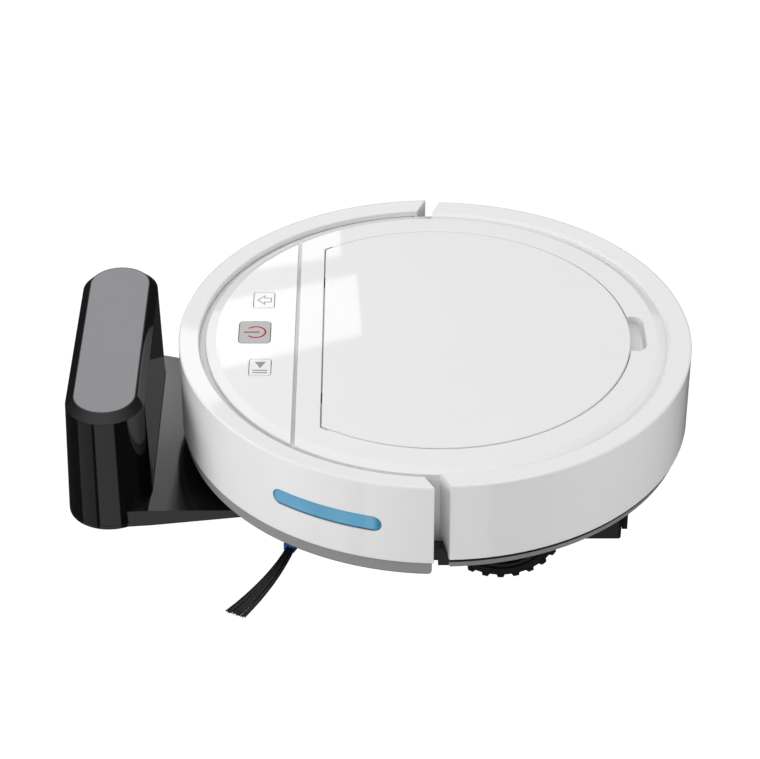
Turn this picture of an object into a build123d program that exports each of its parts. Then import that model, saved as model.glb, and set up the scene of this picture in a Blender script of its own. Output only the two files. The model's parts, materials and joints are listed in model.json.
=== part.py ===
from build123d import *
import os
from math import cos, radians, sin

# Robot vacuum on its charging dock. Millimetres, +Z up, +X forward (towards the dock), +Y to the left.
# The robot's own axis stands at x = ROBOT_X, so that the whole object is centred on the origin.
# Plan positions below are measured from the robot's axis, heights from the floor.

# ---- driving dimensions: robot body
BUMPER_R = 150.0
BUMPER_LIP_R = 138.3
BUMPER_WALL = 3.0
SHELL_R = 148.0
SHELL_WALL = 2.6
RING_CREST_R = 136.0
RING_CREST_Z = 80.4
TOP_Z = 81.0
DECK_Z = 80.4
DECK_FLAT_R = 128.4
DECK_FOOT_R = 134.3
DECK_FOOT_Z = 78.6
DECK_THICK = 2.4
INNER_WALL_R = 131.8
WALL_BOTTOM_Z = 30.5
BUMPER_BOTTOM_Z = 29.7
PAN_Z = 12.0
PAN_THICK = 3.0
PAN_TOP_Z = PAN_Z + PAN_THICK
PAN_FLAT_R = 118.0
PAN_SLOPE_R = 138.0
PAN_RIM_R = 140.0
PAN_RIM_Z = 24.0
PAN_RIM_IN_R = 131.0

# ---- driving dimensions: lid, panel, buttons
LID_R = 112.7
LID_EDGE_X = 65.7
LID_TOP_Z = 80.9
LID_THICK = 2.5
LID_GAP = 0.6
LID_HINGE_X = 64.2
LID_HINGE_Z = 79.2
HINGE_PIN_R = 0.85
HINGE_Y = 60.0
SEAT_Z = 78.1
SEAT_IN_R = 106.0
GROOVE_X = 80.3
PANEL_X = 82.5
PANEL_BED_Z = 77.0
BUTTON_GAP = 0.35
# each button: its x range, its y range and the radius of its corners
BUTTONS = {
    "home_button": ((95.5, 107.6), (-44.2, -27.6), 1.2),
    "power_button": ((96.8, 115.0), (-13.0, 9.5), 2.6),
    "start_button": ((95.5, 107.8), (26.2, 42.4), 1.2),
}

# ---- driving dimensions: running gear
WHEEL_X = -34.4
WHEEL_Z = 34.2
WHEEL_R = 34.2
WHEEL_Y = (108.0, 126.0)
CLEATS = 24
PIVOT_X = 4.0
PIVOT_Z = 40.0
GEAR_MODULE = 0.8
GEAR_TEETH = 48
PINION_TEETH = 12
PINION_ANGLE = 30.0
CASTER_X = 62.0
CASTER_R = 9.5
BRUSH_X = 72.0
BRUSH_Y = 84.0
BRUSH_ANGLE = 64.0
BRUSH_ARMS = 3
BRUSH_REACH = 90.0
ROLLER_X = -88.0
ROLLER_Z = 15.5
ROLLER_R = 13.0

# ---- driving dimensions: dock
DOCK_BODY_X = 188.9
DOCK_FOOT_W = 48.8
DOCK_FOOT_L = 165.6
DOCK_TAPER = 1.6
DOCK_TOP_Z = 78.0
DOCK_CHAMFER = 4.7
DOCK_CAP_W = 34.6
DOCK_CAP_L = 150.4
DOCK_BASE_Z = 0.8
DOCK_SEAM_Z = 3.0
DOCK_WALL = 2.4
RAMP_HIGH_X = 166.0
RAMP_HIGH_Z = 11.3
RAMP_LOW_X = 84.0
RAMP_LOW_Z = 2.8

# ---- general sizes
FAR = 220.0
HIGH = 100.0
SEAM_IN_Y = 100.0
RUNNING = 0.06
SHAFT_R = 1.5
AXLE_R = 3.0

ROBOT_X = (SHELL_R - DOCK_BODY_X - DOCK_FOOT_W / 2) / 2
ROBOT_AXIS = Axis((ROBOT_X, 0, 0), (0, 0, 1))
SIDES = (1, -1)


def level(z):
    """The horizontal plane at height z, centred on the robot's axis."""
    return Plane(origin=(ROBOT_X, 0, z))


def side_on(y):
    """An upright plane across Y, drawn in X and Z, that extrudes towards -Y."""
    return Plane(origin=(ROBOT_X, y, 0), x_dir=(1, 0, 0), z_dir=(0, -1, 0))


def grown(ends, by):
    """A range made longer by an amount at both ends."""
    return (min(ends) - by, max(ends) + by)


def around(middle, half):
    """The range that reaches the same way to both sides of a value."""
    return (middle - half, middle + half)


def mid(ends):
    """The middle of a range."""
    return sum(ends) / 2


def turned(points, mode=Mode.ADD):
    """A profile of (radius, height) points turned about the robot's axis."""
    with BuildSketch(side_on(0)) as profile:
        with BuildLine():
            Polyline(*points, close=True)
        make_face()
    revolve(profile.sketch, axis=ROBOT_AXIS, mode=mode)


def slab(points, z, mode=Mode.ADD):
    """A plan outline raised between two heights."""
    with BuildSketch(level(z[0])) as outline:
        with BuildLine():
            Polyline(*points, close=True)
        make_face()
    extrude(outline.sketch, amount=z[1] - z[0], mode=mode)


def box(x, y, z, mode=Mode.ADD):
    """A block between two x, two y and two z values."""
    slab([(x[0], y[0]), (x[1], y[0]), (x[1], y[1]), (x[0], y[1])], z, mode)


def rounded_box(x, y, z, corner, mode=Mode.ADD):
    """A block with rounded upright edges."""
    with BuildSketch(level(z[0])) as outline:
        with Locations((mid(x), mid(y))):
            RectangleRounded(x[1] - x[0], y[1] - y[0], corner)
    extrude(outline.sketch, amount=z[1] - z[0], mode=mode)


def disc(x, y, radius, z, mode=Mode.ADD):
    """An upright cylinder."""
    with BuildSketch(level(z[0])) as outline:
        with Locations((x, y)):
            Circle(radius)
    extrude(outline.sketch, amount=z[1] - z[0], mode=mode)


def segment(radius, x, z, mode=Mode.ADD):
    """The part of an upright cylinder on the robot's axis between two x values."""
    with BuildSketch(level(z[0])) as outline:
        Circle(radius)
        with Locations((mid(x), 0)):
            Rectangle(x[1] - x[0], 2 * radius, mode=Mode.INTERSECT)
    extrude(outline.sketch, amount=z[1] - z[0], mode=mode)


def arc_ring(radii, x, z, mode=Mode.ADD):
    """The part of a flat ring on the robot's axis between two x values."""
    with BuildSketch(level(z[0])) as outline:
        Circle(radii[1])
        Circle(radii[0], mode=Mode.SUBTRACT)
        with Locations((mid(x), 0)):
            Rectangle(x[1] - x[0], 2 * radii[1], mode=Mode.INTERSECT)
    extrude(outline.sketch, amount=z[1] - z[0], mode=mode)


def rod(x, z, radius, y, mode=Mode.ADD):
    """A cylinder along Y between two y values."""
    with BuildSketch(side_on(y[1])) as outline:
        with Locations((x, z)):
            Circle(radius)
    extrude(outline.sketch, amount=y[1] - y[0], mode=mode)


def plate_across(points, y, mode=Mode.ADD):
    """An outline in X and Z drawn out along Y."""
    with BuildSketch(side_on(y[1])) as outline:
        with BuildLine():
            Polyline(*points, close=True)
        make_face()
    extrude(outline.sketch, amount=y[1] - y[0], mode=mode)


def spur_gear(x, z, teeth, turn, y):
    """A spur gear about a Y axis, its first tooth turned from +X towards +Z."""
    pitch = GEAR_MODULE * teeth / 2
    root = pitch - 1.25 * GEAR_MODULE
    tip = pitch + 0.85 * GEAR_MODULE
    half = 0.58 * GEAR_MODULE
    sunk = root - 0.3
    with BuildSketch(side_on(y[1])) as wheel:
        with Locations((x, z)):
            Circle(root)
            with PolarLocations(0, teeth, start_angle=turn):
                Polygon(
                    (sunk, -1.5 * half), (pitch, -half), (tip, -0.5 * half),
                    (tip, 0.5 * half), (pitch, half), (sunk, 1.5 * half), align=None,
                )
    extrude(wheel.sketch, amount=y[1] - y[0])


def coil(start, axis, radius, wire, pitch, length):
    """A helical spring that starts at a point and runs along an axis."""
    with BuildLine() as path:
        Helix(pitch=pitch, height=length, radius=radius, center=start, direction=axis)
    with BuildSketch(Plane(origin=path.line @ 0, z_dir=path.line % 0)) as section:
        Circle(wire)
    sweep(section.sketch, path=path.line)


def save(builder, name):
    """Label a finished piece and write it to its own file."""
    builder.part.label = name
    export_step(builder.part, f"parts/{name}.step")


def save_both(builder, name):
    """Write a left-hand piece and its mirror image across the robot's centre plane."""
    save(builder, name + "_left")
    with BuildPart() as other:
        mirror(builder.part, about=Plane.XZ)
    save(other, name + "_right")


def behind_seam(wide, narrow):
    """Plan outline of everything behind a slanted seam through two (x, y) points, both sides alike."""
    lean = (narrow[0] - wide[0]) / (wide[1] - narrow[1])
    x_out = wide[0] - (FAR - wide[1]) * lean
    x_in = wide[0] + (wide[1] - SEAM_IN_Y) * lean
    return [(-FAR, -FAR), (x_out, -FAR), (x_in, -SEAM_IN_Y), (x_in, SEAM_IN_Y), (x_out, FAR), (-FAR, FAR)]


def ahead_of_seam(wide, narrow):
    """Plan outline of everything ahead of a slanted seam through two (x, y) points."""
    behind = behind_seam(wide, narrow)
    return [(FAR, -FAR)] + behind[1:5] + [(FAR, FAR)]


def moved(points, x):
    """Seam points moved along X."""
    return [(px + x, py) for px, py in points]


os.makedirs("parts", exist_ok=True)

# ---- where the rear wall and the bumper end: the seam between them slants, wide end first
REAR_END = [(-4.8, 147.9), (0.0, 135.7)]
FRONT_END = [(4.0, 149.95), (9.3, 138.0)]
BEHIND_SEAM_X = (-FAR, -4.8)

# ---- chassis pan: a shallow dish with openings for the wheels, brushes, caster and battery
WELL_X = (-70.2, 9.0)
WELL_Y = (91.6, 127.5)
HEAD_X = (-104.4, -70.0)
HEAD_Y = (-84.6, 93.0)
HEAD_GAP = 0.6
BATTERY_X = (6.5, 43.5)
BATTERY_Y = (9.0, 71.0)
PAN_POSTS = [(98, 58), (98, -58), (40, 100), (40, -100), (-111.5, 20), (-111.5, -20)]
POST_R = 4.5
POST_TOP_Z = 26.0
SCREW_R = 1.5
SCREW_HEAD_R = 3.0
SCREW_TOP_Z = 22.0
SCREW_SEAT_Z = PAN_Z + 1.6
CONTACT_PLATES = [(94, 18), (94, -18)]
CONTACT_PLATE = (9.6, 11.6)
CONTACT_SEAT_Z = PAN_Z + 1.2
CLIFF_SPOTS = [(111, 0), (66, 104), (66, -104)]
CLIFF_R = 3.9
CLIFF_TOP_Z = PAN_Z + 1.5
LEDGE_R = 146.5
LEDGE_THICK = 1.5
LEDGE_FRONT_X = 1.5
CASTER_WELL_R = 15.4
CASTER_TOWER_R = 18.0
CASTER_TOWER_Z = (PAN_TOP_Z, 37.0)
CASTER_ROOF_Z = (37.0, 41.0)
SEAM_BLOCK = [(1.5, 25.7), (-4.6, 25.7), (-4.6, 29.4), (-1.2, 36.9), (6, 36.9), (6, 30.2), (1.5, 30.2)]


def side_well(side, mode=Mode.SUBTRACT):
    """The space that a wheel and its drive need on one side."""
    box(WELL_X, sorted((side * WELL_Y[0], side * WELL_Y[1])), (0, PIVOT_Z), mode)


with BuildPart() as seam_blocks:
    for side in SIDES:
        plate_across(SEAM_BLOCK, sorted((side * (PAN_RIM_R - 1), side * LEDGE_R)))
    disc(0, 0, LEDGE_R, (0, HIGH), Mode.INTERSECT)
    slab(behind_seam(*moved(REAR_END, 0.15)), (WALL_BOTTOM_Z - 0.2, HIGH), Mode.SUBTRACT)

with BuildPart() as chassis_base:
    turned([
        (0, PAN_Z), (PAN_FLAT_R, PAN_Z), (PAN_SLOPE_R, PAN_RIM_Z), (PAN_RIM_R, PAN_RIM_Z),
        (PAN_RIM_R, WALL_BOTTOM_Z), (PAN_RIM_IN_R, WALL_BOTTOM_Z), (PAN_RIM_IN_R, PAN_RIM_Z),
        (PAN_FLAT_R - 1.2, PAN_TOP_Z), (0, PAN_TOP_Z),
    ])
    arc_ring((PAN_RIM_R - 1, LEDGE_R), (-FAR, LEDGE_FRONT_X), (WALL_BOTTOM_Z - LEDGE_THICK, WALL_BOTTOM_Z))
    add(seam_blocks.part)
    for side in SIDES:
        side_well(side)
        disc(BRUSH_X, side * BRUSH_Y, 6, (0, PAN_RIM_Z), Mode.SUBTRACT)
    box(grown(HEAD_X, HEAD_GAP), around(0, HEAD_Y[1] + HEAD_GAP), (0, PAN_RIM_Z - 0.1), Mode.SUBTRACT)
    disc(CASTER_X, 0, CASTER_WELL_R, (0, PAN_RIM_Z), Mode.SUBTRACT)
    box(grown(BATTERY_X, 0.5), grown(BATTERY_Y, 1.5), (0, PAN_RIM_Z), Mode.SUBTRACT)
    disc(CASTER_X, 0, CASTER_TOWER_R, (PAN_TOP_Z, CASTER_ROOF_Z[1]))
    disc(CASTER_X, 0, CASTER_WELL_R, CASTER_TOWER_Z, Mode.SUBTRACT)
    disc(CASTER_X, 0, AXLE_R + RUNNING, CASTER_ROOF_Z, Mode.SUBTRACT)
    for post in PAN_POSTS:
        disc(*post, POST_R, (PAN_Z + 1, POST_TOP_Z))
        disc(*post, SCREW_R + 0.1, (0, SCREW_TOP_Z + 1), Mode.SUBTRACT)
        disc(*post, SCREW_HEAD_R + 0.3, (0, SCREW_SEAT_Z), Mode.SUBTRACT)
    for x, y in CONTACT_PLATES:
        seat_x = around(x, CONTACT_PLATE[0] / 2 + 0.2)
        seat_y = around(y, CONTACT_PLATE[1] / 2 + 0.2)
        box(seat_x, seat_y, (0, CONTACT_SEAT_Z), Mode.SUBTRACT)
    for spot in CLIFF_SPOTS:
        disc(*spot, CLIFF_R + 0.1, (0, CLIFF_TOP_Z), Mode.SUBTRACT)
save(chassis_base, "chassis_base")

SLOT_HALF_W = 0.4
SLOT_HALF_L = 2.0
with BuildPart() as base_screws:
    for x, y in PAN_POSTS:
        disc(x, y, SCREW_HEAD_R, (PAN_Z + 0.1, SCREW_SEAT_Z))
        disc(x, y, SCREW_R, (SCREW_SEAT_Z, SCREW_TOP_Z))
        for half_x, half_y in ((SLOT_HALF_L, SLOT_HALF_W), (SLOT_HALF_W, SLOT_HALF_L)):
            box(around(x, half_x), around(y, half_y), (0, PAN_Z + 0.8), Mode.SUBTRACT)
save(base_screws, "base_screws")

with BuildPart() as charging_contacts:
    with BuildSketch(level(PAN_Z - 0.2)):
        with Locations(*CONTACT_PLATES):
            RectangleRounded(*CONTACT_PLATE, 1.5)
    extrude(amount=CONTACT_SEAT_Z - PAN_Z + 0.2)
save(charging_contacts, "charging_contacts")

with BuildPart() as cliff_sensors:
    for spot in CLIFF_SPOTS:
        disc(*spot, CLIFF_R, (PAN_Z, CLIFF_TOP_Z))
save(cliff_sensors, "cliff_sensors")

# ---- grey skirt under the rear wall
SKIRT_IN_R = PAN_RIM_R + 0.1
SKIRT_TOP_Z = WALL_BOTTOM_Z - LEDGE_THICK
with BuildPart() as rear_skirt:
    turned([(SKIRT_IN_R, PAN_RIM_Z), (145.6, PAN_RIM_Z), (147.2, SKIRT_TOP_Z), (SKIRT_IN_R, SKIRT_TOP_Z)])
    box(BEHIND_SEAM_X, (-FAR, FAR), (0, HIGH), Mode.INTERSECT)
    for side in SIDES:
        side_well(side)
save(rear_skirt, "rear_skirt")

# ---- top shell: round deck, raised rear ring with its outer wall, and the wall behind the bumper
RING_TOP = [
    (INNER_WALL_R, DECK_FOOT_Z), (DECK_FOOT_R, DECK_FOOT_Z), (RING_CREST_R, RING_CREST_Z),
    (SHELL_R - 1.0, TOP_Z), (SHELL_R - 0.3, TOP_Z - 0.3), (SHELL_R, TOP_Z - 1.0),
]
RING_HOLLOW_R = (133.0, 135.6, 137.0, SHELL_R - SHELL_WALL)
RING_HOLLOW_Z = (76.0, 77.6, TOP_Z - SHELL_WALL)
with BuildPart() as rear_ring:
    turned(RING_TOP + [(SHELL_R, WALL_BOTTOM_Z), (INNER_WALL_R, WALL_BOTTOM_Z)])
    slab(behind_seam(*REAR_END), (0, HIGH), Mode.INTERSECT)
with BuildPart() as rear_hollow:
    turned([
        (RING_HOLLOW_R[0], 0), (RING_HOLLOW_R[3], 0), (RING_HOLLOW_R[3], RING_HOLLOW_Z[2]),
        (RING_HOLLOW_R[2], RING_HOLLOW_Z[1]), (RING_HOLLOW_R[1], RING_HOLLOW_Z[0]),
        (RING_HOLLOW_R[0], RING_HOLLOW_Z[0]),
    ])
    slab(behind_seam(*moved(REAR_END, -2)), (0, HIGH), Mode.INTERSECT)

# the rounded pocket behind the lid where a finger lifts it
NOTCH_X = (-121.6, -108.0)
NOTCH_Y = (-18.0, 17.6)
NOTCH_CORNER = 6.5
NOTCH_FLOOR_Z = 74.0
NOTCH_BOWL = 3.0
with BuildPart() as notch:
    rounded_box(NOTCH_X, NOTCH_Y, (NOTCH_FLOOR_Z, HIGH), NOTCH_CORNER)
    fillet(notch.faces().sort_by(Axis.Z)[0].edges(), NOTCH_BOWL)

WALL_FRONT_X = -3.0
SEAT_R = LID_R + LID_GAP
SEAT_WALL_R = SEAT_R + 2.3
SEAT_LOW_Z = 75.8
HINGE_TRENCH_X = (61.8, LID_EDGE_X + 0.75)
HINGE_TRENCH_Z = 77.2
# the lid's round side swings below the deck ahead of the hinge, so its seat is wider there
CORNER_ROOM = 0.9
DECK_LOW_Z = DECK_Z - DECK_THICK
GROOVE_FLOOR_Z = (74.8, 76.2)
# how far out the groove's floor reaches, and from which x on: clear of the bumper's end wall, then under
# the bumper's lip
GROOVE_FLOORS = ((BUMPER_LIP_R - 0.2, 9.5), (BUMPER_LIP_R + 3.2, 12.0))
BED_THICK = 2.4
BOARD_TOP_Z = 67.6
BOARD_POSTS = [(88, 40), (88, -40), (120, 22), (120, -22)]
BOARD_POST_R = 2.5
KNUCKLE_HALF = 5.0

with BuildPart() as top_shell:
    turned([
        (SEAT_IN_R, SEAT_LOW_Z), (SEAT_WALL_R, SEAT_LOW_Z), (SEAT_WALL_R, DECK_LOW_Z),
        (DECK_FLAT_R - 0.8, DECK_LOW_Z), (INNER_WALL_R, 76.7), (INNER_WALL_R, WALL_BOTTOM_Z),
        (DECK_FOOT_R, WALL_BOTTOM_Z), (DECK_FOOT_R, DECK_FOOT_Z), (DECK_FLAT_R, DECK_Z),
        (SEAT_R, DECK_Z), (SEAT_R, SEAT_Z), (SEAT_IN_R, SEAT_Z),
    ])
    add(rear_ring.part)
    add(rear_hollow.part, mode=Mode.SUBTRACT)
    behind_wall = (INNER_WALL_R - 0.8, DECK_FOOT_R + 0.6)
    arc_ring(behind_wall, (-FAR, WALL_FRONT_X), (0, RING_HOLLOW_Z[0]), Mode.SUBTRACT)
    for reach, start_x in GROOVE_FLOORS:
        arc_ring((INNER_WALL_R + 1, reach), (start_x, FAR), GROOVE_FLOOR_Z)
    segment(SEAT_R + 1, (LID_EDGE_X + 0.75, 120), (DECK_LOW_Z, DECK_Z))
    segment(SEAT_R, (59, GROOVE_X), (SEAT_LOW_Z, SEAT_Z))
    segment(SEAT_R + CORNER_ROOM, HINGE_TRENCH_X, (HINGE_TRENCH_Z, HIGH), Mode.SUBTRACT)
    segment(DECK_FOOT_R + 0.2, (GROOVE_X, FAR), (PANEL_BED_Z, HIGH), Mode.SUBTRACT)
    segment(INNER_WALL_R + 0.7, (GROOVE_X - BED_THICK, FAR), (PANEL_BED_Z - BED_THICK, PANEL_BED_Z))
    box((GROOVE_X - BED_THICK, GROOVE_X), around(0, SEAM_IN_Y), (PANEL_BED_Z - BED_THICK, DECK_LOW_Z + 0.5))
    for x, y, _ in BUTTONS.values():
        box(grown(x, 1.6), grown(y, 1.6), (PANEL_BED_Z - BED_THICK - 1, PANEL_BED_Z + 1), Mode.SUBTRACT)
    for post in BOARD_POSTS:
        disc(*post, BOARD_POST_R, (BOARD_TOP_Z, PANEL_BED_Z - 1))
    box(grown(NOTCH_X, 2), grown(NOTCH_Y, 2), (NOTCH_FLOOR_Z - 2, DECK_LOW_Z + 0.05))
    add(notch.part, mode=Mode.SUBTRACT)
    for hinge_y in (-HINGE_Y, HINGE_Y):
        knuckle_y = around(hinge_y, KNUCKLE_HALF + 0.3)
        box((58, HINGE_TRENCH_X[1]), knuckle_y, (SEAT_LOW_Z - 1, LID_HINGE_Z), Mode.SUBTRACT)
        rod(LID_HINGE_X, LID_HINGE_Z, HINGE_PIN_R, around(hinge_y, 9), Mode.SUBTRACT)
save(top_shell, "top_shell")

with BuildPart() as control_panel:
    turned([
        (0, PANEL_BED_Z), (DECK_FOOT_R - 0.1, PANEL_BED_Z), (DECK_FOOT_R - 0.1, DECK_FOOT_Z),
        (DECK_FLAT_R, DECK_Z), (0, DECK_Z),
    ])
    box((PANEL_X, FAR), (-FAR, FAR), (0, HIGH), Mode.INTERSECT)
    for x, y, corner in BUTTONS.values():
        rounded_box(grown(x, BUTTON_GAP), grown(y, BUTTON_GAP), (0, HIGH), corner + BUTTON_GAP, Mode.SUBTRACT)
save(control_panel, "control_panel")

FLANGE_Z = (PANEL_BED_Z - 1.3, PANEL_BED_Z - 0.1)
PLUNGER_R = 2.4
PLUNGER_Z = 73.6
for name, (x, y, corner) in BUTTONS.items():
    with BuildPart() as button:
        rounded_box(x, y, (FLANGE_Z[1] - 1, DECK_Z + 0.1), corner)
        fillet(button.faces().sort_by(Axis.Z)[-1].edges(), 0.3)
        box(grown(x, 1.1), grown(y, 1.1), FLANGE_Z)
        disc(mid(x), mid(y), PLUNGER_R, (PLUNGER_Z, FLANGE_Z[0]))
    save(button, name)

BOARD_Z = (66.0, BOARD_TOP_Z)
SWITCH_Z = (BOARD_TOP_Z, 71.6)
with BuildPart() as main_board:
    box((85, 122), (-46, 46), BOARD_Z)
    for x, y, _ in BUTTONS.values():
        box(around(mid(x), 3), around(mid(y), 3), SWITCH_Z)
        disc(mid(x), mid(y), 1.7, (SWITCH_Z[1], SWITCH_Z[1] + 0.8))
    box((88, 96), (-12, 12), (BOARD_Z[0] - 6, BOARD_Z[0]))
save(main_board, "main_board")

# ---- lid with two knuckles on short pins at its straight front edge
LID_LOW_Z = LID_TOP_Z - LID_THICK
LID_RIB_Z = (LID_LOW_Z - 1.6, LID_LOW_Z)
LID_BACK_X = -120.0
KNUCKLE_R = 1.5
PIN_HALF = 8.6
with BuildPart() as lid:
    segment(LID_R, (LID_BACK_X, LID_EDGE_X), (LID_LOW_Z, LID_TOP_Z))
    chamfer(lid.faces().sort_by(Axis.Z)[-1].edges(), 0.4)
    segment(SEAT_IN_R - 2, (LID_BACK_X, 56), LID_RIB_Z)
    segment(SEAT_IN_R - 4, (LID_BACK_X, 54), LID_RIB_Z, Mode.SUBTRACT)
    for hinge_y in (-HINGE_Y, HINGE_Y):
        rod(LID_HINGE_X, LID_HINGE_Z, KNUCKLE_R, around(hinge_y, KNUCKLE_HALF))
        rod(LID_HINGE_X, LID_HINGE_Z, HINGE_PIN_R + 0.05, around(hinge_y, 12), Mode.SUBTRACT)
        for side in SIDES:
            box((61.5, 70), around(hinge_y + 8.5 * side, 3.2), (0, LID_TOP_Z - 0.7), Mode.SUBTRACT)
save(lid, "lid")

with BuildPart() as lid_hinge_pins:
    for hinge_y in (-HINGE_Y, HINGE_Y):
        rod(LID_HINGE_X, LID_HINGE_Z, HINGE_PIN_R, around(hinge_y, PIN_HALF))
save(lid_hinge_pins, "lid_hinge_pins")

# ---- bumper: front half of the outer wall, hooked over the front of the deck
BUMPER_IN_R = BUMPER_R - BUMPER_WALL
LIP_WALL_R = BUMPER_LIP_R + 2.4
LIP_LOW_Z = GROOVE_FLOOR_Z[1] + 0.4
END_FOOT_Z = 38.0
WINDOW_ANGLES = (52.0, 77.5)
WINDOW_Z = (48.3, 58.7)
WINDOW_LENGTH = 2 * BUMPER_R * sin(radians((WINDOW_ANGLES[1] - WINDOW_ANGLES[0]) / 2))
WINDOW_HEIGHT = WINDOW_Z[1] - WINDOW_Z[0]
WINDOW_PLANE_R = 100.0
WINDOW_R = (BUMPER_IN_R - 1.6, BUMPER_IN_R - RUNNING, BUMPER_R - 0.7)
WINDOW_FLANGE = 3.0
THROUGH_WALL = 60.0


def window_plane(side):
    """An upright plane facing out through the middle of the window."""
    angle = radians(side * mid(WINDOW_ANGLES))
    out = (cos(angle), sin(angle), 0)
    centre = (ROBOT_X + WINDOW_PLANE_R * out[0], WINDOW_PLANE_R * out[1], mid(WINDOW_Z))
    return Plane(origin=centre, x_dir=(-out[1], out[0], 0), z_dir=out)


with BuildPart() as bumper_hollow:
    turned([
        (PAN_RIM_IN_R, 0), (BUMPER_IN_R, 0), (BUMPER_IN_R, TOP_Z - SHELL_WALL),
        (LIP_WALL_R, TOP_Z - BUMPER_WALL), (LIP_WALL_R, LIP_LOW_Z), (PAN_RIM_IN_R, LIP_LOW_Z),
    ])
    slab(ahead_of_seam(*moved(FRONT_END, 2)), (0, HIGH), Mode.INTERSECT)

with BuildPart() as bumper:
    turned([
        (BUMPER_LIP_R, BUMPER_BOTTOM_Z), (BUMPER_R, BUMPER_BOTTOM_Z), (BUMPER_R, TOP_Z - 0.8),
        (BUMPER_R - 0.4, TOP_Z), (BUMPER_R - 1.2, TOP_Z + 0.2), (BUMPER_LIP_R + 0.5, RING_CREST_Z - 0.1),
        (BUMPER_LIP_R, RING_CREST_Z - 0.5),
    ])
    slab(ahead_of_seam(*FRONT_END), (0, HIGH), Mode.INTERSECT)
    add(bumper_hollow.part, mode=Mode.SUBTRACT)
    disc(0, 0, BUMPER_IN_R, (0, END_FOOT_Z), Mode.SUBTRACT)
    with BuildSketch(*[window_plane(side) for side in SIDES]):
        SlotOverall(WINDOW_LENGTH, WINDOW_HEIGHT)
    extrude(amount=THROUGH_WALL, mode=Mode.SUBTRACT)
save(bumper, "bumper")

# each window is a flange behind the wall and a raised pane that fills the slot
with BuildPart() as window_panes:
    turned([(WINDOW_R[0], 40), (WINDOW_R[2], 40), (WINDOW_R[2], 66), (WINDOW_R[0], 66)])
    with BuildSketch(*[window_plane(side) for side in SIDES]):
        SlotOverall(WINDOW_LENGTH - 0.2, WINDOW_HEIGHT - 0.2)
    extrude(amount=THROUGH_WALL, mode=Mode.INTERSECT)

with BuildPart() as bumper_windows:
    turned([(WINDOW_R[0], 40), (WINDOW_R[1], 40), (WINDOW_R[1], 66), (WINDOW_R[0], 66)])
    with BuildSketch(*[window_plane(side) for side in SIDES]):
        SlotOverall(WINDOW_LENGTH + 2 * WINDOW_FLANGE, WINDOW_HEIGHT + 2 * WINDOW_FLANGE)
    extrude(amount=THROUGH_WALL, mode=Mode.INTERSECT)
    add(window_panes.part)
save(bumper_windows, "bumper_windows")

BUMPER_SKIRT_X = 4.9
BUMPER_SKIRT_Z = (20.0, 28.9)
SKIRT_CORNER = 4.0
SKIRT_CORNER_AT = (BUMPER_SKIRT_X + SKIRT_CORNER, BUMPER_SKIRT_Z[0] + SKIRT_CORNER)
with BuildPart() as bumper_skirt:
    turned([
        (144.3, BUMPER_SKIRT_Z[0] + 0.6), (144.9, BUMPER_SKIRT_Z[0]), (147.7, BUMPER_SKIRT_Z[0] + 0.4),
        (148.5, BUMPER_SKIRT_Z[0] + 1.6), (148.5, BUMPER_SKIRT_Z[1]), (147.8, BUMPER_SKIRT_Z[1]),
        (147.8, BUMPER_BOTTOM_Z), (144.3, BUMPER_BOTTOM_Z),
    ])
    with BuildSketch(side_on(FAR)):
        with BuildLine():
            edge = Line((BUMPER_SKIRT_X, HIGH), (BUMPER_SKIRT_X, SKIRT_CORNER_AT[1]))
            corner = CenterArc(SKIRT_CORNER_AT, SKIRT_CORNER, 180, 90)
            Polyline(corner @ 1, (FAR, BUMPER_SKIRT_Z[0]), (FAR, HIGH), edge @ 0)
        make_face()
    extrude(amount=2 * FAR, mode=Mode.INTERSECT)
save(bumper_skirt, "bumper_skirt")

SPRING_Y = 60.0
SPRING_Z = 50.0
SPRING_X = 122.6
with BuildPart() as bumper_springs:
    for spring_y in (-SPRING_Y, SPRING_Y):
        coil((ROBOT_X + SPRING_X, spring_y, SPRING_Z), (1, 0, 0), 3.0, 0.35, 2.0, 9.4)
save(bumper_springs, "bumper_springs")

SWITCH_Y = 30.0
SWITCH_X = (128.0, 138.2)
with BuildPart() as bumper_switches:
    for switch_y in (-SWITCH_Y, SWITCH_Y):
        box(SWITCH_X, around(switch_y, 6), (50, 58))
        box((SWITCH_X[1], SWITCH_X[1] + 1.4), around(switch_y, 1.5), (52, 56))
    disc(0, 0, DECK_FOOT_R + 0.05, (0, HIGH), Mode.SUBTRACT)
save(bumper_switches, "bumper_switches")

# ---- bin well, dust bin and its parts
WELL_IN_X = (-67.2, 1.2)
WELL_IN_Y = (-73.2, 73.2)
WELL_Z = (17.5, 73.4)
WELL_WALL = 2.0
WELL_DECK_Z = (73.3, SEAT_LOW_Z - 0.1)
BIN_WALL = 1.8
BIN_X = (-66.4, 0.4)
BIN_Y = (-72.4, 72.4)
BIN_Z = (19.9, 66.0)
BIN_CORNER = 5.0
DUCT_Y = (-34.0, 34.0)
DUCT_Z = (24.0, 31.5)
FAN_PORT_Y = (-56.0, -24.0)
FAN_PORT_Z = (52.5, 68.0)
FLAP_HINGE = (-62.6, 33.0)
FLAP_PIN_R = 1.0

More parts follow.
